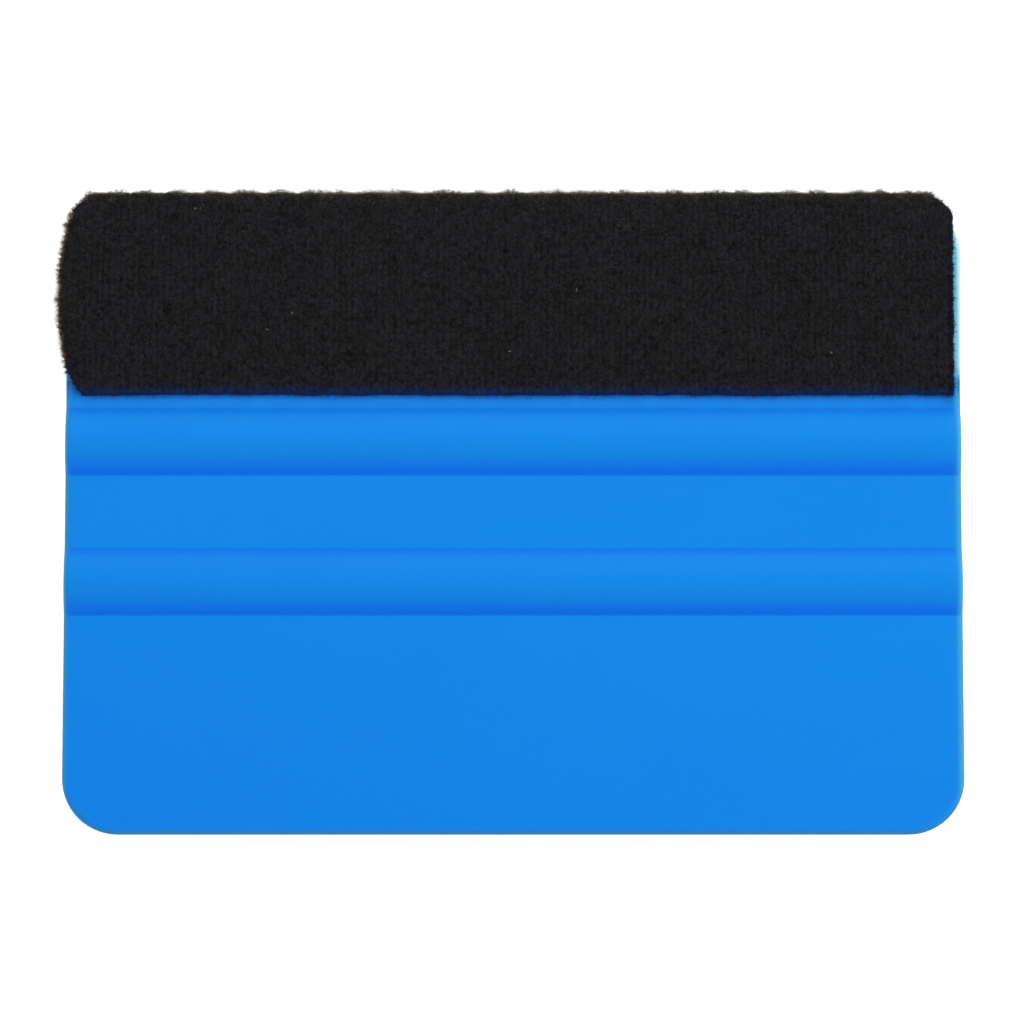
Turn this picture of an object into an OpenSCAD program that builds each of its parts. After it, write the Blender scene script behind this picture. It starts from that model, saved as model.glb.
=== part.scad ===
// Felt-edged squeegee card: a moulded blade, a folded strip of felt along its
// working edge, and the adhesive film that holds the felt on.
// The design frame has X along the working edge and Y from the back edge (y = 0)
// to the working edge. Z is the thickness, with 0 at the middle of the blade.
// Each node is then carried so that the origin is at the middle of the base.

/* [Blade] */
// Width of the blade, along its working edge
blade_w = 100; // [70:1:160]
// Height of the blade, from its back edge to its working edge
blade_h = 70.8; // [56:0.1:120]
// Thickness of the flat part of the blade
blade_t = 2.4; // [1.8:0.1:4]
// Radius of the four corners in plan
corner_r = 6.2; // [2:0.2:12]
// Rounding along the two sides of the back edge
back_r = 0.8; // [0.2:0.05:1]

/* [Working edge] */
// Length over which the blade thins towards its working edge
taper_l = 20; // [8:0.5:26]
// Thickness of the blade at its rounded working edge
nose_t = 1.1; // [0.6:0.05:1.6]

/* [Finger ribs] */
// Ribs on each face
rib_count = 2; // [1:1:2]
// Width of a rib where it rises from the face
rib_w = 7.5; // [4:0.1:10]
// Height of a rib above the face
rib_h = 1.3; // [0.5:0.1:2]
// Distance between the middles of neighbouring ribs
rib_pitch = 15.6; // [11:0.2:18]
// Bare face left between the felt and the nearest rib
rib_gap = 1.4; // [0.5:0.1:4]

/* [Felt strip] */
// Thickness of the felt
felt_t = 0.8; // [0.6:0.1:2]
// Length of each flap, from the outside of the fold to its cut edge
flap_l = 23; // [15:0.5:28]
// How far the bowed end reaches past the side of the blade
felt_over = 1.1; // [0.2:0.1:2]
// How far the square end stops short of the other side of the blade
felt_short = 0.95; // [0.2:0.05:2]
// Radius of the bowed end in plan
bow_r = 33; // [24:1:60]
// Width of the slanting cut at the fold corner of the bowed end
fold_cut_w = 3.3; // [1:0.1:5]
// Length of the slanting cut at the fold corner of the bowed end
fold_cut_l = 3.3; // [1:0.1:6]
// Width of the slanting cut at the flap corner of the bowed end
flap_cut_w = 3; // [1:0.1:5]
// Length of the slanting cut at the flap corner of the bowed end
flap_cut_l = 4.4; // [1:0.1:6]
// Leg of the cut at the fold corner of the square end
square_cut = 2.1; // [0.5:0.1:4]

/* [Adhesive film] */
// Thickness of the film between the blade and the felt
film_t = 0.12; // [0.05:0.01:0.3]

/* [Hidden] */
$fn = 96;

// How far a cutting shape runs past what it cuts
margin = 5;

// Half thickness of the blade, radius of its nose and the middle of that nose
half_t = blade_t / 2;
nose_r = nose_t / 2;
nose_y = blade_h - nose_r;

// Where the taper starts, and its slope on each face. The slope is the tangent
// from that point to the round nose.
taper_y = blade_h - taper_l;
taper_a = atan(half_t / (nose_y - taper_y))
        - asin(nose_r / norm([half_t, nose_y - taper_y]));

// A rib is a segment of a circle, as wide and as high as the rib
rib_r = (rib_w * rib_w / 4 + rib_h * rib_h) / (2 * rib_h);

// Outside of the fold, the flaps' cut edge and the middle of the first rib
wrap_t = film_t + felt_t;
fold_y = blade_h + wrap_t;
flap_y = fold_y - flap_l;
rib_y = flap_y - rib_gap - rib_w / 2;

// The two ends of the felt
bow_x = -blade_w / 2 - felt_over;
square_x = blade_w / 2 - felt_short;

// Half the overall thickness: the ribs' crests or the felt, whichever is higher
half_z = max(half_t + rib_h, half_t + wrap_t);

// Carries a piece from the design frame to the middle of the base
module placed() {
  translate([felt_over / 2, -fold_y / 2, half_z]) children();
}

// A section in Y and Z carried along the whole width, with room to spare
module along_x() {
  length = blade_w + 2 * (felt_over + margin);
  translate([-length / 2, 0, 0]) rotate([90, 0, 90]) linear_extrude(length) children();
}

// A plan in X and Y carried through the whole thickness, with room to spare
module through_z() {
  height = 2 * (half_z + margin);
  translate([0, 0, -height / 2]) linear_extrude(height) children();
}

// Section of the blade without its ribs, with the sides grown outwards by d.
// The two sides run on past the nose, and what lies outside the nose is cut off.
module section(d) {
  r = nose_r + d;
  corner = [taper_y + d * tan(taper_a / 2), half_t + d];
  tangent = [nose_y + r * sin(taper_a), r * cos(taper_a)];
  tip = tangent + r * [1, -tan(taper_a)];
  difference() {
    polygon([[0, corner.y], corner, tip,
             [tip.x, -tip.y], [corner.x, -corner.y], [0, -corner.y]]);
    difference() {
      translate([tangent.x, -margin]) square([2 * margin, 2 * margin]);
      translate([nose_y, 0]) circle(r);
    }
  }
}

// What is cut off a convex corner, in the quarter plane above and left of it,
// to round it with radius r
module rounding(r) {
  difference() {
    translate([-margin, -r]) square([margin + r, r + margin]);
    translate([r, -r]) circle(r);
  }
}

// One rib on the upper face: the cap of a circle above the middle of the blade
module rib(y) {
  intersection() {
    translate([y, half_t + rib_h - rib_r]) circle(rib_r);
    translate([y - rib_r, 0]) square([2 * rib_r, half_z]);
  }
}

module plate_section() {
  difference() {
    section(0);
    for (side = [0, 1]) mirror([0, side]) translate([0, half_t]) rounding(back_r);
  }
}

module blade_plan() {
  difference() {
    translate([-blade_w / 2, 0]) square([blade_w, blade_h]);
    for (side = [0, 1]) mirror([side, 0]) {
      translate([-blade_w / 2, blade_h]) rounding(corner_r);
      translate([-blade_w / 2, 0]) mirror([0, 1]) rounding(corner_r);
    }
  }
}

// The felt's outline, cut by hand through both flaps: bowed at one end and
// square at the other, with slanting cuts at three of its corners
module felt_plan() {
  difference() {
    translate([bow_x, flap_y]) square([square_x - bow_x, flap_l + margin]);
    difference() {
      translate([bow_x - margin, flap_y - margin]) square([margin + bow_r, flap_l + 2 * margin]);
      translate([bow_x + bow_r, flap_y + flap_l / 2]) circle(bow_r);
    }
    corner_cut([bow_x, fold_y], [1, 0], [0, -1], fold_cut_w, fold_cut_l);
    corner_cut([bow_x, flap_y], [1, 0], [0, 1], flap_cut_w, flap_cut_l);
    corner_cut([square_x, fold_y], [-1, 0], [0, -1], square_cut, square_cut);
  }
}

// A triangle at a corner, with legs a and b along u and v, that also takes
// whatever lies outside the corner
module corner_cut(corner, u, v, a, b) {
  reach = 1 + margin / min(a, b);
  slant = [corner + a * u, corner + b * v];
  along = (slant[1] - slant[0]) * reach;
  polygon([slant[0] - along, slant[1] + along, corner - reach * (a * u + b * v)]);
}

// What wraps the working edge between two distances from the blade's surface
module wrap(inner, outer) {
  intersection() {
    along_x() difference() {
      section(outer);
      section(inner);
    }
    through_z() felt_plan();
  }
}

module blade() {
  color([0.09, 0.53, 0.90]) placed() intersection() {
    union() {
      along_x() plate_section();
      for (i = [0 : rib_count - 1], side = [0, 1])
        mirror([0, 0, side]) along_x() rib(rib_y - i * rib_pitch);
    }
    through_z() blade_plan();
  }
}

module adhesive_film() {
  color([0.78, 0.70, 0.42]) placed() wrap(0, film_t);
}

module felt_strip() {
  color([0.12, 0.12, 0.13]) placed() wrap(film_t, wrap_t);
}

blade();
adhesive_film();
felt_strip();
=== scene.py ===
# %% [markdown]
# # A felt-edged squeegee card
#
# The object is a hand tool for smoothing vinyl film: a moulded plastic blade, a strip of felt
# folded round its working edge, and a thin adhesive film that holds the felt on. It lies flat,
# on the finger ribs of its back face, with the felted edge towards +Y.
#
# The CAD model gives the places and the sizes. This lesson makes the surfaces that are seen:
# rounded rims and rib feet on the blade, cloth with a cut edge and a pile for the felt, and an
# amber edge of film. Everything is in metres, in the CAD model's own frame.

# %% Load the frame
import math

import bpy
import numpy as np
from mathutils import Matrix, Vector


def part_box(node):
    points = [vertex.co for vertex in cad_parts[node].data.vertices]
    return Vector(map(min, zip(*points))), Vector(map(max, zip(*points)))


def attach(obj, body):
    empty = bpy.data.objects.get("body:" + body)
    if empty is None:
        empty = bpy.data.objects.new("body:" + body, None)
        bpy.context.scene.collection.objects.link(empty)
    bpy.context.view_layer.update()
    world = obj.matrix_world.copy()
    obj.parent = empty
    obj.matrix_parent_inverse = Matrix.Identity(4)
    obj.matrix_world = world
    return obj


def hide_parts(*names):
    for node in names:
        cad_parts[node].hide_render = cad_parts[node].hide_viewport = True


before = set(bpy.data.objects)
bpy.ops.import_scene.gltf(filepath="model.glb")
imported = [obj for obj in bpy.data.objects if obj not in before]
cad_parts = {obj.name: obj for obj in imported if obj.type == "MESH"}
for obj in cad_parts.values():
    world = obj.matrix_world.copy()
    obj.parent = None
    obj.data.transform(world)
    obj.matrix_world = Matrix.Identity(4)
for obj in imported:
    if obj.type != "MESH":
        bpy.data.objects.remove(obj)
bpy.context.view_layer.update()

blade_lo, blade_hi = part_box("blade")
_, film_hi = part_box("adhesive_film")
felt_lo, felt_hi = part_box("felt_strip")

# %% [markdown]
# ## Places and sizes
#
# The boxes of the three CAD nodes say where the piece's edges are. The few sizes that a box
# can't show, such as a corner's radius, are named here once, as a drawing would name them.

# %% Name the places and the sizes
MM = 0.001

CENTRE_X = (blade_lo.x + blade_hi.x) / 2
MID_Z = (blade_lo.z + blade_hi.z) / 2
HALF_W = (blade_hi.x - blade_lo.x) / 2
BACK_Y, EDGE_Y = blade_lo.y, blade_hi.y
FLAP_Y, FOLD_Y = felt_lo.y, felt_hi.y
BOW_X, SQUARE_X = felt_lo.x, felt_hi.x
STRIP_W = SQUARE_X - BOW_X
FLAP_L = FOLD_Y - FLAP_Y
FILM_T = film_hi.y - EDGE_Y
WRAP_T = FOLD_Y - EDGE_Y

HALF_T = 1.2 * MM
CORNER_R = 6.2 * MM
TAPER_L = 20 * MM
NOSE_R = 0.55 * MM
RIM_R = 0.85 * MM

RIB_W = 7.5 * MM
RIB_H = blade_hi.z - MID_Z - HALF_T
RIB_PITCH = 15.6 * MM
RIB_GAP = 1.4 * MM
RIB_FOOT_R = 0.4 * MM
RIB_MIDDLES = [FLAP_Y - RIB_GAP - RIB_W / 2 - i * RIB_PITCH for i in range(2)]

print(f"blade {2 * HALF_W / MM:.1f} x {(EDGE_Y - BACK_Y) / MM:.1f} mm")
print(f"felt {STRIP_W / MM:.1f} mm long, with flaps of {FLAP_L / MM:.1f} mm")

# %% [markdown]
# ## Small tools
#
# Every surface below is a grid of points worked out with numpy as whole arrays. Three helpers
# do the rest: one turns arrays into a mesh, one numbers the faces of a grid, and one closes a
# grid in front, a grid behind and the loops between them into one solid skin.

# %% Smooth steps and smooth randomness
def ease(x):
    """0 below 0, 1 above 1, and the smooth curve 3x^2 - 2x^3 between."""
    x = np.clip(x, 0, 1)
    return x * x * (3 - 2 * x)


def ripples(seed, size, x, y):
    """A smooth random height, mostly between -1 and 1, over the points x, y.

    It is a sum of cosine waves. Each has a random direction and phase, and a length near size.
    """
    rng = np.random.default_rng(seed)
    waves = 14
    turn, phase = rng.uniform(0, 2 * np.pi, (2, waves))
    pace = 2 * np.pi / (size * rng.uniform(0.7, 1.7, waves))
    x, y = np.broadcast_arrays(np.asarray(x, float), np.asarray(y, float))
    along = x[..., None] * np.cos(turn) + y[..., None] * np.sin(turn)
    return np.cos(along * pace + phase).sum(-1) * np.sqrt(0.5 / waves)


# %% Arrays into a mesh
def make_piece(name, points, faces, material, node=None, attributes=None, maps=None):
    """A smooth-shaded mesh at the origin, from points (N, 3) and face arrays (M, 3) or (M, 4).

    attributes are one number per point. maps are UV maps, with two numbers per point. The piece
    rides on the card's one body. It stands for a CAD node if node names one.
    """
    points = np.asarray(points, np.float32).reshape(-1, 3)
    corners = np.concatenate([f.ravel() for f in faces]).astype(np.int32)
    sizes = np.concatenate([np.full(len(f), f.shape[1]) for f in faces])
    mesh = bpy.data.meshes.new(name)
    mesh.vertices.add(len(points))
    mesh.vertices.foreach_set("co", points.ravel())
    mesh.loops.add(len(corners))
    mesh.loops.foreach_set("vertex_index", corners)
    mesh.polygons.add(len(sizes))
    mesh.polygons.foreach_set("loop_start", (np.cumsum(sizes) - sizes).astype(np.int32))
    mesh.polygons.foreach_set("use_smooth", np.ones(len(sizes), bool))
    mesh.update(calc_edges=True)
    for key, values in (attributes or {}).items():
        layer = mesh.attributes.new(key, "FLOAT", "POINT")
        layer.data.foreach_set("value", np.asarray(values, np.float32).ravel())
    for key, values in (maps or {}).items():
        layer = mesh.uv_layers.new(name=key)
        layer.uv.foreach_set("vector", np.asarray(values, np.float32)[corners].ravel())
    mesh.materials.append(material)
    piece = bpy.data.objects.new(name, mesh)
    bpy.context.scene.collection.objects.link(piece)
    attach(piece, "root")
    if node:
        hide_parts(node)
    triangles = int((sizes - 2).sum())
    print(f"{name}: {len(points)} points, {triangles} triangles")
    return piece


# %% Grids and closed skins
def grid_faces(rows, cols, start=0, outward=True):
    """Four-cornered faces of a grid whose points are numbered row by row from start."""
    first = (start + np.arange(rows - 1)[:, None] * cols + np.arange(cols - 1)).ravel()
    quads = np.stack([first, first + 1, first + cols + 1, first + cols], 1)
    return quads if outward else quads[:, ::-1]


def border(rows, cols):
    """The numbers of a grid's border points, once round: first row, last column, and back."""
    grid = np.arange(rows * cols).reshape(rows, cols)
    return np.concatenate([grid[0], grid[1:, -1], grid[-1, -2::-1], grid[-2:0:-1, 0]])


def closed_skin(front, loops, back):
    """Points and faces of a solid: a front grid, a back grid of the same size, and the loops
    of points (L, 3) that lead from the front's border to the back's."""
    rows, cols = front.shape[:2]
    count, edge = rows * cols, border(rows, cols)
    points = np.concatenate([front.reshape(-1, 3), back.reshape(-1, 3), *loops])
    rings = [edge]
    rings += [2 * count + i * len(edge) + np.arange(len(edge)) for i in range(len(loops))]
    rings += [edge + count]
    faces = [grid_faces(rows, cols), grid_faces(rows, cols, count, outward=False)]
    for upper, lower in zip(rings, rings[1:], strict=False):
        faces.append(np.stack([lower, np.roll(lower, -1), np.roll(upper, -1), upper], 1))
    return points, faces


# %% [markdown]
# ## Finishes are written as sums
#
# A shader is arithmetic on values that change over a surface, so it reads best as
# arithmetic. Value wraps one output socket, and +, -, * and / on it add the Math nodes.
# Every other node comes from Finish.node, which sets a node up and hands back an output.

# %% Shader values and shader nodes
class Value:
    """A number on its way between shader nodes."""

    def __init__(self, finish, socket):
        self.finish, self.socket = finish, socket

    def _math(self, operation, a, b):
        inputs = {0: a, 1: b}
        return self.finish.node("ShaderNodeMath", {"operation": operation}, inputs)

    def __add__(self, other):
        return self._math("ADD", self, other)

    def __sub__(self, other):
        return self._math("SUBTRACT", self, other)

    def __mul__(self, other):
        return self._math("MULTIPLY", self, other)

    def __truediv__(self, other):
        return self._math("DIVIDE", self, other)

    def __rsub__(self, other):
        return self._math("SUBTRACT", other, self)

    __radd__, __rmul__ = __add__, __mul__

    def step(self, low, high):
        """0 where the value is below low, 1 above high, and smooth between."""
        ends = {"From Min": low, "From Max": high, "Value": self}
        return self.finish.node("ShaderNodeMapRange", {"interpolation_type": "SMOOTHSTEP"}, ends)


class Finish:
    """A material, and the one way to add a node to it."""

    def __init__(self, name, **shader):
        self.material = bpy.data.materials.new(name)
        self.material.use_nodes = True
        self.tree = self.material.node_tree
        self.shader = next(n for n in self.tree.nodes if n.type == "BSDF_PRINCIPLED")
        for key, value in shader.items():
            self.shader.inputs[key.replace("_", " ")].default_value = value

    def node(self, kind, settings=None, inputs=None, out=None):
        """Adds a node: its settings first, then its sockets, by name or by number."""
        node = self.tree.nodes.new(kind)
        for key, value in (settings or {}).items():
            setattr(node, key, value)
        for key, value in (inputs or {}).items():
            named = (s for s in node.inputs if s.enabled and s.name == key)
            socket = node.inputs[key] if isinstance(key, int) else next(named)
            if isinstance(value, Value):
                self.tree.links.new(value.socket, socket)
            else:
                socket.default_value = value
        shown = [s for s in node.outputs if s.enabled and out in (None, s.name)]
        return Value(self, shown[0])

    def place(self):
        """The point's place on the object, in metres."""
        return self.node("ShaderNodeTexCoord", out="Object")

    def stretched(self, place, scale, turn=0.0):
        """A place scaled along X, Y and Z, after a turn about Z in degrees."""
        turned = {"Vector": place, "Scale": scale, "Rotation": (0, 0, math.radians(turn))}
        return self.node("ShaderNodeMapping", None, turned)

    def noise(self, place, size, detail):
        """Soft noise from 0 to 1, with lumps about size metres across."""
        inputs = {"Vector": place, "Scale": 1 / size, "Detail": detail}
        return self.node("ShaderNodeTexNoise", None, inputs, out="Fac")

    def spots(self, place, size, radius):
        """1 in the middle of round spots of this radius, one to a cell of this size, else 0."""
        inputs = {"Vector": place, "Scale": 1 / size}
        near = self.node("ShaderNodeTexVoronoi", None, inputs, out="Distance")
        return 1 - near.step(radius / size * 0.6, radius / size)

    def attribute(self, name):
        """The number that each point of the mesh carries under this name."""
        return self.node("ShaderNodeAttribute", {"attribute_name": name}, None, "Fac")

    def mix(self, share, a, b):
        """A colour that goes from a to b as share goes from 0 to 1."""
        return self.node("ShaderNodeMix", {"data_type": "RGBA"}, {"Factor": share, "A": a, "B": b})

    def feed(self, socket, value):
        """Leads a value into one of the shader's sockets."""
        self.tree.links.new(value.socket, self.shader.inputs[socket])

    def relief(self, height, depth, below=None):
        """A bump from a height of 0 to 1 that stands for this depth in metres."""
        inputs = {"Height": height, "Distance": depth, "Strength": 1.0}
        if below is not None:
            inputs["Normal"] = below
        return self.node("ShaderNodeBump", None, inputs)


def colour(r, g, b):
    """A colour for a socket, from linear red, green and blue."""
    return (r, g, b, 1.0)


print("shader tools ready")

# %% [markdown]
# ## The blade's section
#
# The blade is the same on both faces: flat, thinning evenly over the last 20 mm to a rounded
# working edge, with two finger ribs that are caps of a circle. A moulded rib meets the face in
# a small hollow curve, not in a knife-sharp line, and it is that curve which catches the
# thin dark line along the rib; painted shade at the rib's feet deepens it. So the height of a
# face is written as a function of Y alone.

# %% Height of a face above the middle of the blade
RIB_R = (RIB_W**2 / 4 + RIB_H**2) / (2 * RIB_H)
FOOT_REACH = math.sqrt((RIB_R + RIB_FOOT_R) ** 2 - (RIB_R - RIB_H + RIB_FOOT_R) ** 2)
CAP_REACH = FOOT_REACH * RIB_R / (RIB_R + RIB_FOOT_R)
NOSE_Y = EDGE_Y - NOSE_R
TAPER_Y = EDGE_Y - TAPER_L
TAPER_A = math.atan2(HALF_T, NOSE_Y - TAPER_Y) - math.asin(
    NOSE_R / math.hypot(HALF_T, NOSE_Y - TAPER_Y)
)
TAPER_BLEND = 1.0 * MM


def plate_height(y):
    """Half the plate's thickness: level, then falling at the taper's slope.

    The fall is a hyperbola that runs from the level line into the slope, so no line shows.
    """
    past = y - TAPER_Y
    return HALF_T - math.tan(TAPER_A) * (np.hypot(past, TAPER_BLEND) + past) / 2


def rib_rise(off):
    """How far a rib stands above the plate, at a distance off its middle.

    Up to CAP_REACH it is the cap of a circle, and from there to FOOT_REACH the hollow foot,
    a small circle that touches the cap and the plate.
    """
    off = np.abs(off)
    cap = np.sqrt(np.maximum(RIB_R**2 - off**2, 0)) + RIB_H - RIB_R
    foot = RIB_FOOT_R - np.sqrt(np.maximum(RIB_FOOT_R**2 - (off - FOOT_REACH) ** 2, 0))
    return np.where(off < CAP_REACH, cap, np.where(off < FOOT_REACH, foot, 0))


def face_height(y):
    """Height of the blade's face above its middle: the plate and its ribs."""
    return plate_height(y) + sum(rib_rise(y - middle) for middle in RIB_MIDDLES)


print(f"rib radius {RIB_R / MM:.2f} mm, taper {math.degrees(TAPER_A):.2f} degrees")

# %% [markdown]
# ## The blade's mesh
#
# A grid of rows covers the face, up to where the rim starts to round. Rows are close
# together over the ribs' feet and round the corners, and a row's ends follow the outline. Loops
# round the border then carry the surface over the rounded rim, down the side, and over the
# moulding's parting line to the other face. The sides splay a little towards the working edge.

# %% Rows and columns of the face
def blade_rows():
    """Y of each row: a fixed number round each corner, over each rib and over its feet, and
    one every millimetre elsewhere."""
    inner_r = CORNER_R - RIM_R
    low, high = BACK_Y + RIM_R, EDGE_Y - RIM_R
    bend = inner_r * (1 - np.cos(np.linspace(0, np.pi / 2, 15)))
    rows = [low + bend, high - bend, np.arange(low + inner_r, high - inner_r, 1.0 * MM)]
    for middle in RIB_MIDDLES:
        cap = np.linspace(-CAP_REACH, CAP_REACH, 31)
        foot = np.linspace(CAP_REACH, FOOT_REACH + 0.12 * MM, 7)
        rows += [middle + cap, middle + foot, middle - foot]
    rows = np.sort(np.concatenate(rows))
    return rows[np.append(True, np.diff(rows) > 0.008 * MM)]


def row_reach(y):
    """Half the length of a row: the outline pulled in by the rim, with its round corners."""
    inner_r = CORNER_R - RIM_R
    to_end = np.minimum(y - BACK_Y, EDGE_Y - y) - RIM_R
    drop = inner_r - np.clip(to_end, 0, inner_r)
    return HALF_W - CORNER_R + np.sqrt(np.maximum(inner_r**2 - drop**2, 0))


column_shares = np.sort(np.append(np.linspace(-1, 1, 109), [-0.9965, 0.9965]))
row_y = blade_rows()
print(f"{len(row_y)} rows of {len(column_shares)} points on each face")

# %% The two faces and the loops round the rim
PARTING_RISE = 0.045 * MM
PARTING_W = 0.09 * MM
RIM_SHARE = 0.7         # of the blade's height at the border, taken up by each rounded rim
FLARE = 0.018           # how far each side splays for each metre past the felt's cut edge

grid_y = np.repeat(row_y[:, None], len(column_shares), 1)
grid_x = CENTRE_X + row_reach(row_y)[:, None] * column_shares
grid_h = face_height(grid_y)
front = np.stack([grid_x, grid_y, MID_Z + grid_h], -1)
back = np.stack([grid_x, grid_y, MID_Z - grid_h], -1)


def outline_normals(points):
    """Outward directions along the rounded outline: away from the nearest point of the
    rectangle that joins the corners' centres."""
    core_x = HALF_W - CORNER_R
    x = points[:, 0] - CENTRE_X
    y = points[:, 1]
    away = np.stack(
        [
            x - np.clip(x, -core_x, core_x),
            y - np.clip(y, BACK_Y + CORNER_R, EDGE_Y - CORNER_R),
        ],
        1,
    )
    return away / np.linalg.norm(away, axis=1, keepdims=True)


edge = border(*grid_h.shape)
edge_points = front.reshape(-1, 3)[edge]
edge_height = edge_points[:, 2] - MID_Z
edge_out = outline_normals(edge_points)
rim_height = RIM_SHARE * edge_height
edge_flare = np.maximum(edge_points[:, 1] - FLAP_Y, 0) * FLARE * np.abs(edge_out[:, 0])


def rim_loop(out, height):
    """The border carried outwards by out and set at this height above the middle."""
    plan = edge_points[:, :2] + edge_out * (out + edge_flare)[:, None]
    return np.column_stack([plan, MID_Z + height])


def wall_out(height):
    """How far the side stands out at a height: the rim's radius and the fine ridge of the
    parting line at the middle."""
    return RIM_R + PARTING_RISE * np.exp(-((height / PARTING_W) ** 2))


rim_steps = [
    (RIM_R * math.sin(turn), edge_height - rim_height * (1 - math.cos(turn)))
    for turn in np.radians(np.linspace(9, 90, 10))
]
upper_rim = [rim_loop(out, height) for out, height in rim_steps]
lower_rim = [rim_loop(out, -height) for out, height in rim_steps[::-1]]
straight = edge_height - rim_height
wall_shares = (0.8, 0.5, 0.25, 0.12, 0.05, 0, -0.05, -0.12, -0.25, -0.5, -0.8)
side_wall = [rim_loop(wall_out(share * straight), share * straight) for share in wall_shares]
blade_points, blade_faces = closed_skin(front, upper_rim + side_wall + lower_rim, back)
print(f"{len(upper_rim + side_wall + lower_rim)} loops of {len(edge)} points round the rim")

# %% [markdown]
# ## The blade's plastic
#
# The plastic is a bright blue polypropylene with a satin surface, slightly translucent. Much of
# its light and shade is painted into its colour: the rounded rims and the short sides are painted
# paler, the thin working edge is painted pale as if lit through, the side walls, the ribs' feet,
# the back edge and the left get painted shade, and the strip beside the felt's cut edge gets
# painted light that lifts the felt's shadow. Each point of the mesh carries marks, numbers from 0
# to 1 that say how near the rim it is, whether the blade is thin there, and whether it lies at a
# rib's foot or beside the felt; they place the painted light and shade. Fine flow clouds, handling
# scuffs and a few specks keep the blue from looking like a flat fill.

# %% Marks on each point of the blade
def outside(x, y):
    """Signed distance to the blade's outline in plan, positive outside."""
    dx = np.abs(x - CENTRE_X) - (HALF_W - CORNER_R)
    dy = np.maximum(BACK_Y + CORNER_R - y, y - EDGE_Y + CORNER_R)
    beyond = np.hypot(np.maximum(dx, 0), np.maximum(dy, 0))
    return beyond + np.minimum(np.maximum(dx, dy), 0) - CORNER_R


def foot_mark(y, side, start):
    """How deep a point lies in the hollow on one side of a rib: 0 at start, 1 at the foot."""
    # The mark places painted shade in the hollow at a rib's foot.
    off = np.max([np.where(np.abs(y - m) < RIB_W, side * (y - m), 0) for m in RIB_MIDDLES], axis=0)
    rising = ease((off - start) / (CAP_REACH - start))
    return rising * (1 - ease((off - CAP_REACH) / (FOOT_REACH + 0.05 * MM - CAP_REACH)))


def blade_marks(x, y):
    """The marks, by name. Each fades evenly over the distance that it is divided by.

    rim and side follow the whole outline, and painted_light_end_rim the two short sides. rim
    places a painted reflection that makes the rounded rims paler, side the painted shade that
    darkens the side walls, and painted_light_end_rim painted light on the short sides' rims. thin
    is the part of the rim past the start of the taper, painted pale as light seen through the thin
    edge. glow is the strip of face beside the felt's cut edge, painted lighter to lift the felt's
    shadow. painted_shade_step_line is a fine dark line of painted shade that ends the level part
    of the sides. painted_shade_edge_foot and painted_shade_back_foot are the ribs' feet, on the
    felt's side and on the back edge's side, where shade is painted.
    """
    past = outside(x, y)
    past_side = np.abs(x - CENTRE_X) - HALF_W
    thin = ease((y - TAPER_Y + 0.2 * MM) / (1.2 * MM)) * ease((past + 1.6 * MM) / (1.1 * MM))
    painted_light_by_felt = ease(1 - np.abs(FLAP_Y + 0.1 * MM - y) / (1.1 * MM)) * (1 - ease(2 + past / MM))
    step_across = np.exp(-(((past_side + 0.30 * MM) / (0.14 * MM)) ** 2))
    step_along = ease((y - FLAP_Y) / MM) * ease((TAPER_Y + 0.4 * MM - y) / (0.3 * MM))
    return {
        "rim": ease(1 + past / (1.1 * MM)),
        "side": ease(1 + past / (0.35 * MM)),
        "thin": thin,
        "painted_light_end_rim": ease(1 + past_side / (np.where(x > CENTRE_X, 1.15, 0.75) * MM)),
        "painted_light_by_felt": painted_light_by_felt,
        "painted_shade_step_line": step_across * step_along,
        "painted_shade_edge_foot": foot_mark(y, 1, 2.5 * MM),
        "painted_shade_back_foot": foot_mark(y, -1, 0.9 * MM) ** 1.3,
    }


marks = blade_marks(blade_points[:, 0], blade_points[:, 1])
print("marks on the blade:", ", ".join(marks))

# %% Blue plastic
plastic = Finish(
    "blue_plastic",
    Roughness=0.4,
    Specular_IOR_Level=0.035,
    Subsurface_Weight=0.12,
    Subsurface_Radius=(0.15, 0.5, 1.0),
    Subsurface_Scale=0.8 * MM,
)
place = plastic.place()
clouds = plastic.noise(plastic.stretched(place, (1, 2.2, 1)), 16 * MM, 3)
grain = plastic.noise(place, 0.45 * MM, 2)
scuffs = plastic.noise(plastic.stretched(place, (0.05, 1, 1), 24), 0.16 * MM, 1)
scratches = scuffs.step(0.68, 0.74) * plastic.noise(place, 9 * MM, 1).step(0.48, 0.62)
specks = plastic.spots(place, 11 * MM, 0.16 * MM)
specks = specks * plastic.noise(place, 23 * MM, 0).step(0.5, 0.52)
across = plastic.node("ShaderNodeSeparateXYZ", None, {"Vector": place}, "X")
along = plastic.node("ShaderNodeSeparateXYZ", None, {"Vector": place}, "Y")
side, thin = plastic.attribute("side"), plastic.attribute("thin")

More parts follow.
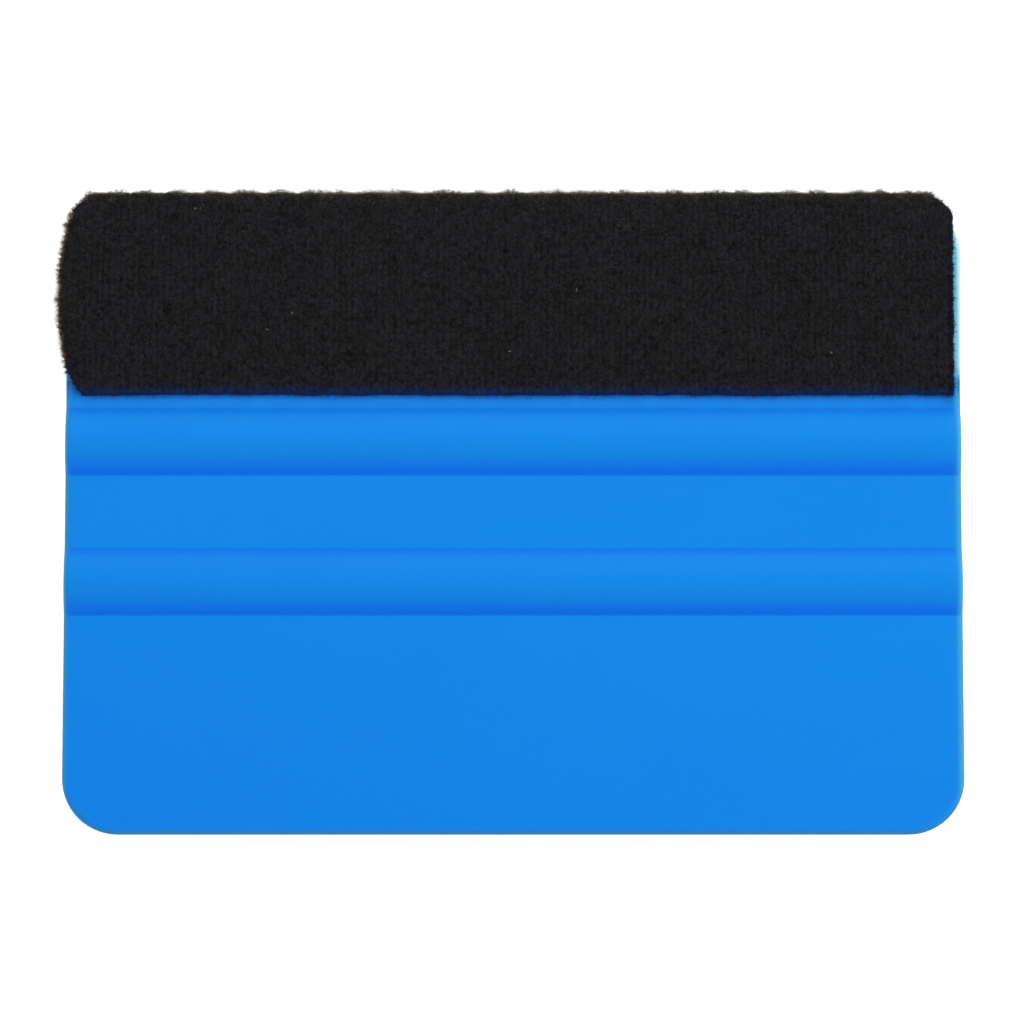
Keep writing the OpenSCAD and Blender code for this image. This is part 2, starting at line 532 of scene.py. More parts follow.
# Each layer covers what is below it by its share, from the flat of the blade to its thin edge. All
# but the scratches and the specks are painted light and shade.
layers = [
    # Painted shade: the blue is made darker towards the back edge and the left, which get less
    # light.
    ((across * 0.2 + along).step(0.0, -0.045), (0.0050, 0.1885, 0.662)),
    # Painted shade: darker at the ribs' feet on the felt's side.
    (plastic.attribute("painted_shade_edge_foot"), (0.0040, 0.160, 0.635)),
    # Painted shade: darker and a deeper blue at the ribs' feet on the back edge's side.
    (plastic.attribute("painted_shade_back_foot"), (0.0040, 0.162, 0.775)),
    (scratches * 0.10, (0.05, 0.28, 0.70)),
    (specks * 0.5, (0.003, 0.08, 0.34)),
    # Painted reflection: the rounded rims are made paler, as if they showed the white floor.
    (plastic.attribute("rim") * 0.6, (0.026, 0.238, 0.56)),
    # Painted light: the rims of the two short sides are made paler, over a wider band on the
    # right, where the side lamp is.
    (plastic.attribute("painted_light_end_rim") * 0.7, (0.046, 0.325, 0.47)),
    # Painted light: the strip of face beside the felt's cut edge is made lighter and bluer, to
    # lift the felt's cast shadow.
    (plastic.attribute("painted_light_by_felt"), (0.028, 0.28, 1.0)),
    # Painted shade: the side walls are made darker and greyer.
    (side * 0.85, (0.055, 0.19, 0.33)),
    # Painted light: the thin working edge is made pale, as if lit through.
    (thin * 0.96, (0.165, 0.43, 0.56)),
    # Painted light: where the thin edge meets the sides it is made paler still.
    (side * thin * 0.8, (0.42, 0.66, 0.72)),
    # Painted shade: a fine dark line where the level part of the sides ends.
    (plastic.attribute("painted_shade_step_line") * 0.9, (0.006, 0.06, 0.26)),
]
body = plastic.mix(clouds, colour(0.0054, 0.1980, 0.640), colour(0.0060, 0.2110, 0.660))
for share, cover in layers:
    body = plastic.mix(share, body, colour(*cover))
plastic.feed("Base Color", body)
plastic.feed("Roughness", 0.44 + 0.10 * plastic.noise(place, 5 * MM, 3) + 0.12 * scratches)
skin = plastic.relief(grain, 0.0012 * MM)
skin = plastic.relief(clouds, 0.012 * MM, skin)
plastic.feed("Normal", plastic.relief(1 - scratches, 0.002 * MM, skin))

make_piece(
    "blade_skin",
    blade_points,
    blade_faces,
    plastic.material,
    node="blade",
    attributes=marks,
)

# %% [markdown]
# ## The path round the working edge
#
# The film and the felt follow the blade's surface: along the front face, round the
# nose and back along the other face. The path is a list of points on the blade, each with
# the direction that points away from it. A surface at any depth is the path plus that depth
# along the direction. Distances along the path are measured on the outside of the felt.

# %% Path points, directions and lengths
def wrap_path():
    """Y, height, and the away direction's Y and Z, along the whole wrap.

    The front face comes first, up to where the nose starts, then the nose's half circle, then
    the front face's mirror image.
    """
    touch_y = NOSE_Y + NOSE_R * math.sin(TAPER_A)
    flat_y = np.linspace(FLAP_Y, touch_y, 260)[:-1]
    lean = TAPER_A * (1 + (flat_y - TAPER_Y) / np.hypot(flat_y - TAPER_Y, TAPER_BLEND)) / 2
    face = [flat_y, plate_height(flat_y), np.sin(lean), np.cos(lean)]
    turn = np.linspace(np.pi / 2 - TAPER_A, TAPER_A - np.pi / 2, 90)
    nose = [NOSE_Y + NOSE_R * np.cos(turn), NOSE_R * np.sin(turn), np.cos(turn), np.sin(turn)]
    mirrored = [face[0][::-1], -face[1][::-1], face[2][::-1], -face[3][::-1]]
    return [np.concatenate(run) for run in zip(face, nose, mirrored, strict=True)]


path_y, path_h, away_y, away_z = wrap_path()
outer_y = path_y + WRAP_T * away_y
outer_h = path_h + WRAP_T * away_z
path_at = np.append(0, np.cumsum(np.hypot(np.diff(outer_y), np.diff(outer_h))))
WRAP_L = path_at[-1]
print(f"the wrap is {WRAP_L / MM:.1f} mm long outside")

# %% [markdown]
# ## Outline of the cut felt
#
# The strip was cut by hand after it was stuck on. One end bows out past the blade's side and
# slants back at both corners. The other stops just short of the side, with its fold corner
# cut off. The cut goes through a knitted cloth, so it isn't clean: each course of stitches
# ends in a small lobe.

# %% The two ends, as functions of the distance from the fold
BOW_R = 33 * MM
FOLD_CUT_W, FOLD_CUT_L = 3.3 * MM, 3.3 * MM
FLAP_CUT_W, FLAP_CUT_L = 3.0 * MM, 4.4 * MM
SQUARE_CUT = 2.1 * MM
SQUARE_DRIFT = 0.22 * MM    # how far the square end leans out towards the fold
COURSE = 0.64 * MM
CUT_BLEND = 0.15 * MM
BOW_LOBE, BOW_SET_BACK = 0.22 * MM, 0.28 * MM
SQUARE_LOBE, SQUARE_SET_OUT = 0.10 * MM, 0.04 * MM


def smooth_max(*values):
    """The largest of the values, with the corner between two of them rounded off."""
    scaled = [v / CUT_BLEND for v in values]
    return CUT_BLEND * np.logaddexp.reduce(np.stack(np.broadcast_arrays(*scaled)), axis=0)


def lobes(at, size, seed):
    """Stitch ends along a cut: half-round lobes one course apart, uneven in size."""
    uneven = 0.7 + 0.5 * ripples(seed, 2.2 * MM, at, 0)
    return size * uneven * np.abs(np.cos(np.pi * at / COURSE)) ** 0.7


def bowed_end(from_fold, at):
    """X of the bowed end: an arc, cut back by a slanting line at each corner."""
    arc = BOW_X + BOW_R - np.sqrt(BOW_R**2 - (from_fold - FLAP_L / 2) ** 2)
    fold_cut = BOW_X + FOLD_CUT_W * (1 - from_fold / FOLD_CUT_L)
    flap_cut = BOW_X + FLAP_CUT_W * (1 - (FLAP_L - from_fold) / FLAP_CUT_L)
    ragged = 0.05 * MM * ripples(3, 1.5 * MM, at, 0) + lobes(at, BOW_LOBE, 4)
    return smooth_max(arc, fold_cut, flap_cut) + BOW_SET_BACK - ragged


def square_end(from_fold, at):
    """X of the square end: a straight cut with its fold corner taken off."""
    end = SQUARE_X + SQUARE_DRIFT * (1 - from_fold / FLAP_L)
    ragged = 0.04 * MM * ripples(5, 1.8 * MM, at, 0) + lobes(at, SQUARE_LOBE, 6) - SQUARE_SET_OUT
    return -smooth_max(-end, -(end - SQUARE_CUT + from_fold)) + ragged


print(f"the stitches end in lobes {COURSE / MM:.2f} mm apart")

# %% A place on the wrap
PINCH_REACH = 2.6 * MM


def on_wrap(across, at, depth, grow=0.0):
    """Points at a share across the strip, a distance along the wrap, and a depth above the
    blade, with the away directions. grow lengthens both ends.

    Where the strip reaches past the blade's side or its round corner, there is nothing between
    its two flaps, so they come together.
    """
    y, h, ny, nz = (np.interp(at, path_at, v) for v in (path_y, path_h, away_y, away_z))
    from_fold = FOLD_Y - (y + WRAP_T * ny)
    left = bowed_end(from_fold, at) - grow
    right = square_end(from_fold, at) + grow
    x = left + (right - left) * across
    pinch = ease(outside(x, np.minimum(y, EDGE_Y)) / PINCH_REACH)
    place = [x, y + depth * ny, MID_Z + h * (1 - pinch) + depth * nz]
    points = np.stack(np.broadcast_arrays(*place), -1)
    return points, np.stack(np.broadcast_arrays(0 * x, ny, nz), -1)


def end_shares(rows, middle, near_end, spread):
    """Shares across the strip: close together near both ends and even in the middle."""
    ends = np.linspace(0, 1, near_end + 1)[:-1] ** 1.6 * spread
    inner = np.linspace(spread, 1 - spread, middle)
    return np.linspace(0, 1, rows), np.concatenate([ends, inner, 1 - ends[::-1]])


# %% [markdown]
# ## The adhesive film
#
# The film was on the felt when the strip was cut, but it is stiffer, and here and there near
# the fold it stands out past the cloth by a quarter of a millimetre. It is clear, slightly
# yellow, and far too thin to show anywhere else.

# %% Film
FILM_INSET = 0.15 * MM      # from the flaps' cut edges
FILM_LIFT = 0.012 * MM      # off the plastic, so that the two surfaces don't share a place
film_rows, film_cols = end_shares(150, 60, 4, 0.01)
film_at = FILM_INSET + film_rows[:, None] * (WRAP_L - 2 * FILM_INSET)
at_fold = np.exp(-(((film_at - WRAP_L / 2) / (3.5 * MM)) ** 4))
film_grow = (0.30 * ease(0.6 + ripples(8, 1.6 * MM, film_at, 0)) * at_fold - 0.06) * MM
film_inner, _ = on_wrap(film_cols, film_at, FILM_LIFT, film_grow)
film_outer, _ = on_wrap(film_cols, film_at, FILM_T, film_grow)
film_points, film_faces = closed_skin(film_outer, [], film_inner)

amber = Finish(
    "amber_film",
    Roughness=0.22,
    Coat_Weight=0.3,
    Coat_Roughness=0.15,
    Subsurface_Weight=0.3,
    Subsurface_Radius=(1.0, 0.8, 0.4),
    Subsurface_Scale=0.4 * MM,
)
amber_place = amber.place()
dust = amber.noise(amber_place, 0.5 * MM, 3)
amber.feed("Base Color", amber.mix(dust, colour(0.55, 0.43, 0.20), colour(0.74, 0.66, 0.42)))
amber.feed("Roughness", 0.18 + 0.3 * dust)
amber.feed("Normal", amber.relief(dust, 0.02 * MM))
make_piece(
    "film_skin", film_points, film_faces, amber.material, node="adhesive_film"
)

# %% [markdown]
# ## The felt
#
# The felt is a knitted cloth, brushed until its surface is a short pile, a little under a
# millimetre thick. It isn't stuffed and it doesn't hang: it is glued down all over. So it is
# built from its own flat coordinates, X along the strip and the distance round the fold, with
# no cloth simulation. A closed skin gives the thickness and the soft cut edges, and its finish
# gives the ridges of the knit. The pile itself follows as fibres.

# %% Surface of the cloth, and marks on it
PILE = 0.10 * MM
SKIN_D = WRAP_T - PILE
CUT_ROUND, CUT_SINK = 0.45 * MM, 0.36 * MM
CUT_BULGE = 0.09 * MM
FOLD_PUFF = 0.015 * MM


def cloth_depth(x, at, to_edge):
    """Height of the cloth above the blade: slightly uneven, and thinner towards a cut."""
    uneven = 0.03 * MM * ripples(11, 3.0 * MM, x, at) + 0.02 * MM * ripples(12, 1.1 * MM, x, at)
    puff = FOLD_PUFF * np.exp(-(((at - WRAP_L / 2) / (1.6 * MM)) ** 2))
    return SKIN_D + uneven + puff - CUT_SINK * np.exp(-to_edge / CUT_ROUND)


def flap_shift(x, at):
    """How far the cut edge of each flap wanders, fading out within 5 mm of the edge."""
    reach = 5 * MM
    front_flap = 1 - ease(at / reach)
    back_flap = 1 - ease((WRAP_L - at) / reach)
    front = 0.09 + 0.06 * ripples(13, 22 * MM, x, 0) + 0.06 * ripples(14, 2.4 * MM, x, 0)
    behind = 0.14 * ripples(15, 26 * MM, x, 0) + 0.06 * ripples(16, 2.0 * MM, x, 0)
    return (front * front_flap - behind * back_flap) * MM


def felt_surface(across, at, lift=0.0):
    """Points on the outside of the cloth, with their away directions."""
    flat, _ = on_wrap(across, at, SKIN_D)
    x = flat[..., 0]
    at = at + flap_shift(x, at)
    ends = np.minimum(across, 1 - across) * STRIP_W
    to_edge = np.minimum(ends, np.minimum(at, WRAP_L - at))
    depth = cloth_depth(x, at, np.maximum(to_edge, 0)) + lift
    return on_wrap(across, np.clip(at, 0, WRAP_L), depth)


def edge_marks(across, at):
    """How close a place is to the raw end of the cloth, and to the plastic that shows beside
    it: 1 at the cut, and fading out inwards."""
    # The second mark, near, places a painted blue reflection of the plastic on the cloth and the
    # fibres beside it.
    from_bow, from_square = across * STRIP_W, (1 - across) * STRIP_W
    from_flap_edge = np.minimum(at, WRAP_L - at)
    off_fold = ease((np.abs(at - WRAP_L / 2) - 2.4 * MM) / (1.2 * MM))
    off_flap_edge = ease(from_flap_edge / (1.5 * MM) - 1.9)
    raw_bow = ease(1 - from_bow / (0.6 * MM)) * off_flap_edge
    raw_square = ease(1 - from_square / (0.7 * MM)) * (1 - off_fold)
    near_flap_edge = np.exp(-from_flap_edge / (0.34 * MM))
    near_square = 0.35 * np.exp(-from_square / (0.22 * MM))
    near_bow = 0.25 * np.exp(-from_bow / (0.35 * MM)) * (1 - off_flap_edge)
    raw = np.maximum(raw_bow, raw_square)
    near = np.maximum(near_flap_edge, np.maximum(near_square, near_bow))
    return raw, near * off_fold * (1 - raw)


print(f"the cloth's skin is {SKIN_D / MM:.2f} mm above the blade")

# %% Closed skin of the felt, with soft cut edges
felt_rows, felt_cols = end_shares(350, 94, 14, 0.016)
felt_at = felt_rows[:, None] * WRAP_L
felt_outer, _ = felt_surface(felt_cols, felt_at)
felt_inner, _ = on_wrap(felt_cols, felt_at + flap_shift(felt_outer[..., 0], felt_at), FILM_T)
felt_shape = felt_outer.shape[:2]
cut = border(*felt_shape)
cut_outer = felt_outer.reshape(-1, 3)[cut]
cut_inner = felt_inner.reshape(-1, 3)[cut]


def cut_directions(rows, cols):
    """Outward direction at each border point: along -Y at the two flap edges, and along X at
    the ends."""
    grid = np.zeros((rows, cols, 3))
    grid[:, 0, 0], grid[:, -1, 0] = -1, 1
    grid[0, :, 1] = grid[-1, :, 1] = -1
    out = grid.reshape(-1, 3)[border(rows, cols)]
    return out / np.linalg.norm(out, axis=1, keepdims=True)


cut_out = cut_directions(*felt_shape)
cut_loops = []
for share in (0.1, 0.25, 0.45, 0.65, 0.85):
    rough = 1 + 0.5 * ripples(20, 0.8 * MM, cut_outer[:, 0] + cut_outer[:, 1], share * MM)
    bulge = CUT_BULGE * math.sqrt(1 - (2 * share - 1) ** 2) * rough
    level = cut_outer + (cut_inner - cut_outer) * share
    cut_loops.append(level + cut_out * bulge[:, None])
felt_points, felt_faces = closed_skin(felt_outer, cut_loops, felt_inner)


def on_skin(values):
    """One number for each point of the skin, from numbers over its grid: the outside, the
    inside, and the loops at the cut."""
    grid = np.broadcast_to(values, felt_shape).ravel()
    return np.concatenate([grid, grid, np.tile(grid[cut], len(cut_loops))])


# The cloth's flat coordinates, for its knit: X, and the distance round the fold
cloth_at = on_skin(felt_at)
cloth_map = np.column_stack([felt_points[:, 0], cloth_at])
raw_mark, painted_bounce_mark = edge_marks(on_skin(felt_cols), cloth_at)
print(f"{felt_shape[0]} rows of {felt_shape[1]} points on each side of the cloth")

# %% Knitted, brushed cloth
WALE = 0.68 * MM
# Painted reflection: the blue of the plastic, painted onto the felt where the plastic shows beside
# it.
PAINTED_BLUE_BOUNCE = colour(0.003, 0.030, 0.17)    # light from the plastic, on the felt's cut edges
cloth = Finish(
    "black_felt",
    Roughness=0.95,
    Specular_IOR_Level=0.06,
    Sheen_Weight=0.02,
    Sheen_Roughness=0.6,
)
flat = cloth.node("ShaderNodeUVMap", {"uv_map": "cloth"})
parts = cloth.node("ShaderNodeSeparateXYZ", None, {"Vector": flat}, "X")
wander = cloth.noise(flat, 4 * MM, 2)
turns = (parts / WALE + 0.8 * wander) * (2 * math.pi)
ridge = 0.5 + 0.5 * cloth.node("ShaderNodeMath", {"operation": "SINE"}, {0: turns})
fluff = cloth.noise(cloth.stretched(flat, (1, 0.45, 1)), 0.22 * MM, 3)
pits = cloth.noise(cloth.stretched(flat, (1, 0.6, 1)), 0.5 * MM, 2).step(0.30, 0.46)
worn = cloth.noise(flat, 7 * MM, 2).step(0.32, 0.68)
tone = (0.26 + 0.22 * ridge + 0.45 * fluff + 0.12 * worn) * (0.25 + 0.75 * pits)
nap_colour = cloth.mix(tone, colour(0.0012, 0.0012, 0.0014), colour(0.0165, 0.0160, 0.0182))
nap_colour = cloth.mix(cloth.attribute("raw"), nap_colour, colour(0.036, 0.022, 0.012))
# Painted reflection: blue from the plastic, by the near mark.
cloth.feed("Base Color", cloth.mix(cloth.attribute("near"), nap_colour, PAINTED_BLUE_BOUNCE))
cloth.feed("Normal", cloth.relief(0.5 * ridge + fluff, 0.10 * MM))
felt = make_piece(
    "felt_cloth",
    felt_points,
    felt_faces,
    cloth.material,
    node="felt_strip",
    attributes={"raw": raw_mark, "near": painted_bounce_mark},
    maps={"cloth": cloth_map},
)

# %% [markdown]
# ## The pile
#
# Brushing pulls fibres out of the knit, and they lie down in short curls, mostly along the
# wales. Each fibre here is a thin three-sided spike that bends over: a few points carried along
# a curve, with a point at the tip. Thousands are worked out at once, as arrays. The fold and
# the cuts have longer, finer hairs that stand up, which is what makes the outline look soft.

# %% Fibres as arrays, and as a piece
ROOT_SINK = 0.03 * MM       # below the cloth's surface
FLOOR_ROOM = 0.05 * MM      # kept between the floor and the middle of any fibre
rng = np.random.default_rng(27)


def fibres(across, at, aim, length, lift, width, curl, joints=3, tone=None):
    """Points and faces of tapered, bent, three-sided fibres, rooted on the felt.

    aim is the direction in which each lies: 0 is along the wrap and 90 degrees is along X.
    lift is how far its middle stands off the cloth, and curl how far it bends sideways. At a
    share f of its length a fibre has gone length * f along its aim, 4 * f * (1 - f) * lift
    and a little more off the cloth, and curl * sin(pi * f) sideways. None reaches the floor.
    tone is how pale each one is, from 0 to 1 and more for lint, and random if not given. Near
    the fold it is raised further, as painted light.
    """
    root, away = felt_surface(across, at, -ROOT_SINK)
    along = np.stack([np.zeros(len(at)), away[:, 2], -away[:, 1]], -1)
    side = np.array([1.0, 0, 0])
    lie = along * np.cos(aim)[:, None] + side * np.sin(aim)[:, None]
    beside = np.cross(away, lie)
    f = np.linspace(0, 1, joints)[:, None, None]
    spine = root + lie * length[:, None] * f
    spine = spine + away * (lift[:, None] * (4 * f * (1 - f) + 0.35 * f))
    spine = spine + beside * curl[:, None] * np.sin(np.pi * f)
    spine = spine.transpose(1, 0, 2)
    spine[..., 2] = np.maximum(spine[..., 2], FLOOR_ROOM)
    corners = np.radians([90, 210, 330])
    ring = np.cos(corners)[:, None, None] * away + np.sin(corners)[:, None, None] * beside
    ring = ring.transpose(1, 0, 2)[:, None] * (width / 2)[:, None, None, None]
    taper = np.linspace(1, 0.45, joints - 1)[None, :, None, None]
    tube = spine[:, :-1, None] + ring * taper
    each = 3 * (joints - 1) + 1
    points = np.concatenate([tube.reshape(len(at), -1, 3), spine[:, -1:]], 1)
    k = np.arange(3)
    quads = [
        np.stack([3 * j + k, 3 * j + (k + 1) % 3, 3 * j + 3 + (k + 1) % 3, 3 * j + 3 + k], 1)
        for j in range(joints - 2)
    ]
    tips = np.stack([each - 4 + k, each - 4 + (k + 1) % 3, np.full(3, each - 1)], 1)
    triangles = np.concatenate([tips, [[2, 1, 0]]])
    starts = np.arange(len(at))[:, None, None] * each
    faces = [(np.concatenate(quads)[None] + starts).reshape(-1, 4)]
    faces.append((triangles[None] + starts).reshape(-1, 3))
    flat_x = points.reshape(-1, 3)[:, 0] - BOW_X
    gone = (length * np.cos(aim))[:, None] * np.linspace(0, 1, each)
    flat_map = np.column_stack([flat_x / STRIP_W, (at[:, None] + gone).ravel() / WRAP_L])
    raw, near = edge_marks(across, at)
    tone = rng.random(len(at)) ** 2 if tone is None else tone
    # Painted light: the fibres are made paler towards the fold, where the cloth turns up towards
    # the light.
    tone = tone * (1 + 0.6 * np.exp(-np.abs(at - WRAP_L / 2) / (5 * MM)))
    marks = {"tone": tone, "raw": raw, "near": near}
    marks = {key: np.repeat(value, each) for key, value in marks.items()}
    return points.reshape(-1, 3), faces, flat_map, marks


def fibre_piece(name, material, *placed, **more):
    """A piece of felt made of fibres, with their flat coordinates as a UV map."""
    points, faces, flat_map, marks = fibres(*placed, **more)
    maps = {"OFBake": flat_map}
    return make_piece(name, points, faces, material, attributes=marks, maps=maps)


# %% Pile on the flaps and the fold
def hair_finish(name, dark, pale, other_pale, raw, pale_raw):
    """A fibre's finish. Each fibre has its own tone between dark and pale. The dye is a little
    purple in some places and a little green in others, and it is thin at the raw ends."""
    hair = Finish(name, Roughness=0.75, Specular_IOR_Level=0.08)
    place = hair.place()
    patches = hair.noise(place, 0.9 * MM, 2).step(0.3, 0.7)
    worn = hair.noise(place, 7 * MM, 2).step(0.3, 0.7)
    tone = hair.attribute("tone") * (0.40 + 0.42 * patches + 0.12 * worn)
    dye = hair.noise(hair.stretched(place, (1.6, 0.6, 1)), 4.0 * MM, 1).step(0.45, 0.55)
    body = hair.mix(tone, dark, hair.mix(dye, pale, other_pale))
    body = hair.mix(hair.attribute("raw"), body, hair.mix(hair.attribute("tone"), raw, pale_raw))
    # Painted reflection: blue from the plastic, by the near mark.
    hair.feed("Base Color", hair.mix(hair.attribute("near"), body, PAINTED_BLUE_BOUNCE))
    return hair.material


pile_black = hair_finish(
    "black_pile",
    colour(0.0015, 0.0015, 0.0018),
    colour(0.061, 0.051, 0.062),
    colour(0.049, 0.055, 0.058),
    colour(0.030, 0.019, 0.011),
    colour(0.070, 0.048, 0.028),
)
fuzz_grey = hair_finish(
    "grey_fuzz",
    colour(0.013, 0.011, 0.009),
    colour(0.25, 0.22, 0.185),
    colour(0.23, 0.215, 0.17),
    colour(0.060, 0.040, 0.022),
    colour(0.42, 0.34, 0.22),
)


def pile(name, count, across_low, across_high, at_low, at_high):
    """Short fibres over part of the felt, gathered on the ridges of the knit."""
    across = rng.uniform(across_low, across_high, count)
    at = rng.uniform(at_low, at_high, count)
    pull = 0.12 * MM * np.sin(2 * np.pi * (BOW_X + across * STRIP_W) / WALE)
    across = np.clip(across - pull / STRIP_W, 0.0004, 0.9996)
    aim = np.radians(rng.normal(0, 55, count)) + np.pi * rng.integers(0, 2, count)
    length = rng.uniform(0.35, 0.85, count) * MM
    lift = rng.uniform(0.03, 0.12, count) * MM
    width = rng.uniform(0.055, 0.105, count) * MM
    curl = rng.normal(0, 0.10, count) * MM
    return fibre_piece(name, pile_black, across, at, aim, length, lift, width, curl)


FOLD_ZONE = 6 * MM
FOLD_FROM, FOLD_TO = (WRAP_L - FOLD_ZONE) / 2, (WRAP_L + FOLD_ZONE) / 2
FRONT_FROM, BACK_TO = 0.02 * MM, WRAP_L - 0.02 * MM
PILE_PARTS = {
    "pile_front_left": (17500, 0, 1 / 3, FRONT_FROM, FOLD_FROM),
    "pile_front_middle": (17500, 1 / 3, 2 / 3, FRONT_FROM, FOLD_FROM),
    "pile_front_right": (17500, 2 / 3, 1, FRONT_FROM, FOLD_FROM),
    "pile_fold": (16000, 0, 1, FOLD_FROM, FOLD_TO),
    "pile_back": (18500, 0, 1, FOLD_TO, BACK_TO),
}
pieces = [pile(name, *numbers) for name, numbers in PILE_PARTS.items()]

# %% Loose hairs, and dark ones all round the fold
def loose_hairs(name, across, at, out, spread, width, tone, height=1.0, reach=1.0):
    """Fine curved hairs that stand up off the cloth, in uneven tufts.

    out is the direction in which they lie, and spread its scatter in degrees. width, height
    and reach make them thicker, taller and longer.
    """
    count = len(at)
    x = across * STRIP_W
    pull = 0.15 * MM * ripples(31, 1.3 * MM, x, 0)
    across = np.clip(across + pull / STRIP_W, 0.0002, 0.9998)
    aim = out + np.radians(rng.normal(0, spread, count))
    length = np.minimum(rng.gamma(4.0, 0.10, count), 0.9) * reach * MM
    tall = 0.55 + 0.9 * ease(0.5 + ripples(32, 2.4 * MM, x, at))
    lift = np.minimum(rng.gamma(3.0, 0.085, count) * tall * height, 0.65) * MM
    width = width * rng.uniform(0.020, 0.040, count) * MM
    curl = rng.normal(0, 0.16, count) * MM
    shape = (length, lift, width, curl)
    return fibre_piece(name, fuzz_grey, across, at, aim, *shape, joints=5, tone=tone)


for part, start in (("left", 0.0), ("right", 0.5)):
    count = 8600
    across = start + rng.uniform(0.002, 0.498, count)
    at = WRAP_L / 2 + rng.normal(-0.30, 0.9, count) * MM
    tone = 0.4 * rng.random(count)
    pieces.append(loose_hairs(f"hairs_fold_{part}", across, at, 0, 180, 1.2, tone, height=0.7))

# %% Pale loops along the crown of the fold: arches at the top, and low ones on its front
count = 7400
arch = rng.random(count) < 0.45
arch_at = rng.normal(0.0, 0.22, count)
low_at = rng.normal(-0.36, 0.24, count)
at = WRAP_L / 2 + np.where(arch, arch_at, low_at) * MM
out = np.where(rng.random(count) < 0.5, -np.pi / 2, np.pi / 2)
across = rng.uniform(0.002, 0.998, count)
tone = 0.6 + 0.4 * rng.random(count)
size = {"height": np.where(arch, 1.35, 0.75), "reach": np.where(arch, 1.7, 1.0)}
pieces.append(loose_hairs("hairs_crown", across, at, out, 25, 1.4, tone, **size))

# %% Stitch ends at the two ends of the strip, on the lobes of the cut, and a few tufts
TUFTS = [   # share across the strip, distance along the wrap, direction in degrees
    (0.0005, FLAP_L - 12.2 * MM, -90),
    (0.0005, FLAP_L - 2.7 * MM, -60),
    (0.0005, FLAP_L - 3.8 * MM, -80),
    (0.9930, 0.10 * MM, 180),
]
PER_TUFT = 70
count = 4600
at = rng.uniform(0, WRAP_L, count)
at = at - 0.09 * MM * np.sin(2 * np.pi * at / COURSE)
at_bow = rng.random(count) < 0.6
inwards = np.abs(rng.normal(0, 0.0012, count)) + 0.0002
across = np.where(at_bow, inwards, 1 - inwards)
out = np.where(at_bow, -np.pi / 2, np.pi / 2)
for tuft_across, tuft_at, tuft_aim in TUFTS:
    across = np.append(across, tuft_across + rng.uniform(0, 0.0012, PER_TUFT))
    at = np.append(at, tuft_at + rng.normal(0, 0.10, PER_TUFT) * MM)
    out = np.append(out, np.full(PER_TUFT, math.radians(tuft_aim)))
frayed = (across < 0.5) & (np.minimum(at, WRAP_L - at) > 4 * MM)
tone = np.where(frayed, 1.0, 0.15) * rng.random(len(at))
pieces.append(loose_hairs("hairs_ends", across, np.abs(at), out, 30, 1.7, tone))

# %% Dark hairs at the two flaps' cut edges
count = 4000
in_front = rng.random(count) < 0.7
inwards = np.abs(rng.normal(0, 0.10 * MM, count)) + 0.02 * MM
at = np.where(in_front, inwards, WRAP_L - inwards)
out = np.where(in_front, np.pi, 0)
across = rng.uniform(0.002, 0.998, count)
tone = 0.2 * rng.random(count)
pieces.append(loose_hairs("hairs_flaps", across, at, out, 35, 1.5, tone))

# %% Lint on the front flap
LINT_X = np.array([-0.3, -24.4, -27.3, -36.6, 35.8, 7.5]) * MM
LINT_Y = np.array([17.7, 22.1, 20.3, 34.0, 17.7, 24.7]) * MM
BITS = 5                    # short fibres in each speck
count = len(LINT_X) * BITS
x = np.repeat(LINT_X, BITS) + rng.normal(0, 0.05 * MM, count)
y = np.repeat(LINT_Y, BITS) + rng.normal(0, 0.05 * MM, count)
aim = rng.uniform(0, 2 * np.pi, count)
shape = [np.full(count, size * MM) for size in (0.22, 0.12, 0.07, 0.05)]
bright = {"joints": 5, "tone": np.full(count, 4.0)}
across = (x - BOW_X) / STRIP_W
pieces.append(fibre_piece("lint", fuzz_grey, across, y - FLAP_Y, aim, *shape, **bright))

# %% [markdown]
# ## Floor, light and camera
#
# A plain pale floor, lit a little from inside like a photographer's table, and wide soft
# lights, the strongest from behind the felted edge and from the right, so that the ribs are
# lit on those sides and shade off on the others. No light hangs straight above, because a
# level blade would throw it into the camera as a grey veil. The camera looks down at the front
# face from a little under a third of a metre, leaning a few degrees towards the back edge.

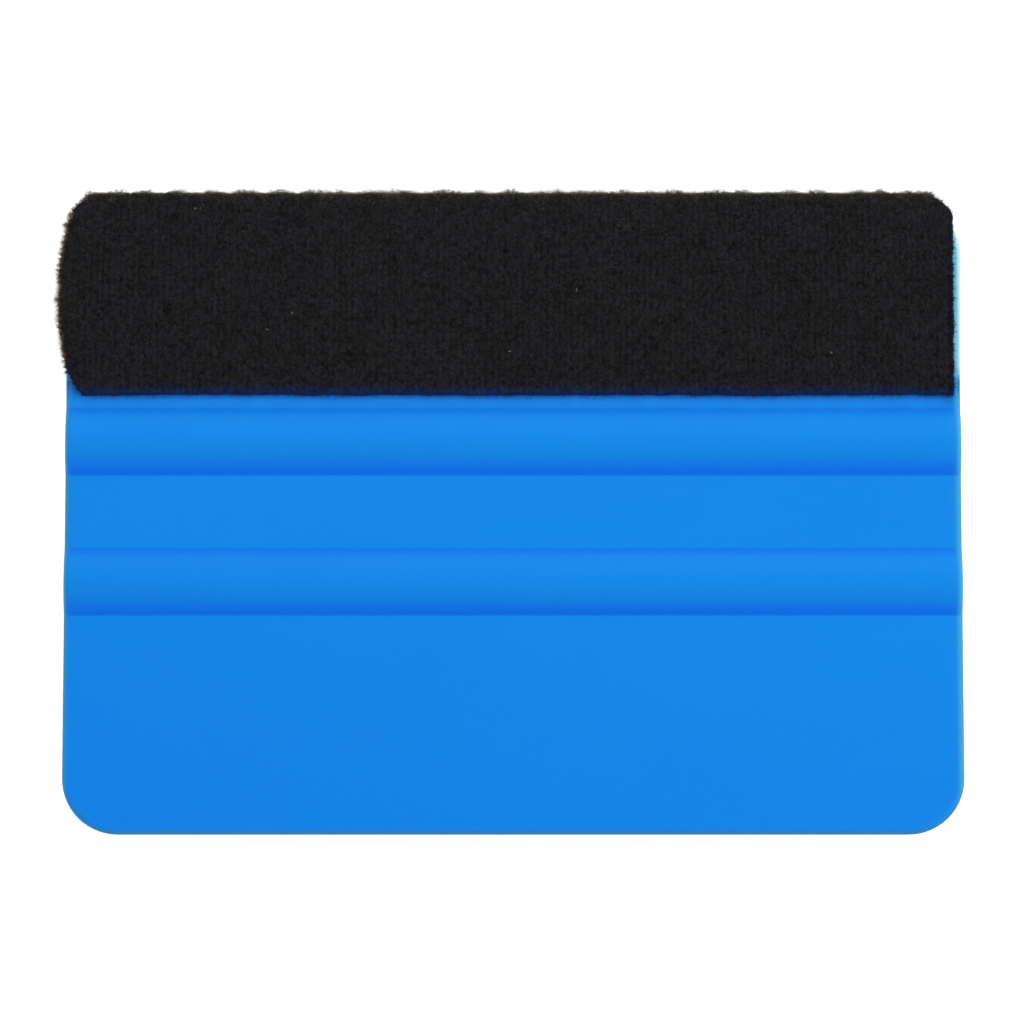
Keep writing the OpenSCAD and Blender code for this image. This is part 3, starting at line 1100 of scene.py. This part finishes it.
# %% Floor
paper = Finish("pale_floor", Roughness=0.9, Specular_IOR_Level=0.1, Emission_Strength=0.55)
fibre = paper.noise(paper.place(), 2.5 * MM, 3)
paper.feed("Base Color", paper.mix(fibre, colour(0.86, 0.86, 0.86), colour(0.89, 0.89, 0.89)))
paper.shader.inputs["Emission Color"].default_value = colour(1.0, 1.0, 1.0)
FLOOR_HALF = 3.0
floor_mesh = bpy.data.meshes.new("floor")
floor_turns = ((-1, -1), (1, -1), (1, 1), (-1, 1))
floor_corners = [(i * FLOOR_HALF, j * FLOOR_HALF, 0) for i, j in floor_turns]
floor_mesh.from_pydata(floor_corners, [], [(0, 1, 2, 3)])
floor_mesh.materials.append(paper.material)
floor = bpy.data.objects.new("floor", floor_mesh)
bpy.context.scene.collection.objects.link(floor)

# %% Lights
LIGHT_SIZE = 0.8
LIGHTS = {      # place in metres, and power in watts
    "key": ((0.10, 0.75, 0.80), 8.4),
    "side": ((0.90, 0.05, 0.65), 8.7),
    "fill": ((-0.90, 0.0, 0.65), 2.9),
    "near": ((0.0, -0.95, 0.70), 3.1),
}
for name, (place, power) in LIGHTS.items():
    lamp = bpy.data.lights.new(name, "AREA")
    lamp.shape, lamp.size, lamp.energy = "SQUARE", LIGHT_SIZE, power
    light = bpy.data.objects.new(name, lamp)
    light.location = place
    light.rotation_euler = (-light.location).to_track_quat("-Z", "Y").to_euler()
    bpy.context.scene.collection.objects.link(light)

world = bpy.data.worlds.new("studio")
world.use_nodes = True
sky = next(n for n in world.node_tree.nodes if n.type == "BACKGROUND")
sky.inputs["Color"].default_value = colour(1.0, 1.0, 1.0)
sky.inputs["Strength"].default_value = 0.2
bpy.context.scene.world = world
bpy.context.scene.view_settings.view_transform = "Standard"
print(f"{len(LIGHTS)} area lights, {LIGHT_SIZE} m square")

# %% Camera
DISTANCE = 0.300
LEAN = math.radians(4.0)
WIDTH_SEEN = 0.1144
AIM_X, AIM_Y = CENTRE_X - 0.14 * MM, -0.06 * MM

lens = bpy.data.cameras.new("camera")
lens.lens = lens.sensor_width * DISTANCE / WIDTH_SEEN
lens.clip_start, lens.clip_end = 0.01, 10
camera = bpy.data.objects.new("camera", lens)
camera.location = (AIM_X, AIM_Y - DISTANCE * math.sin(LEAN), MID_Z + DISTANCE * math.cos(LEAN))
camera.rotation_euler = (LEAN, 0, 0)
bpy.context.scene.collection.objects.link(camera)
bpy.context.scene.camera = camera
print(f"camera {DISTANCE:.2f} m away, with a lens of {lens.lens:.0f} mm")
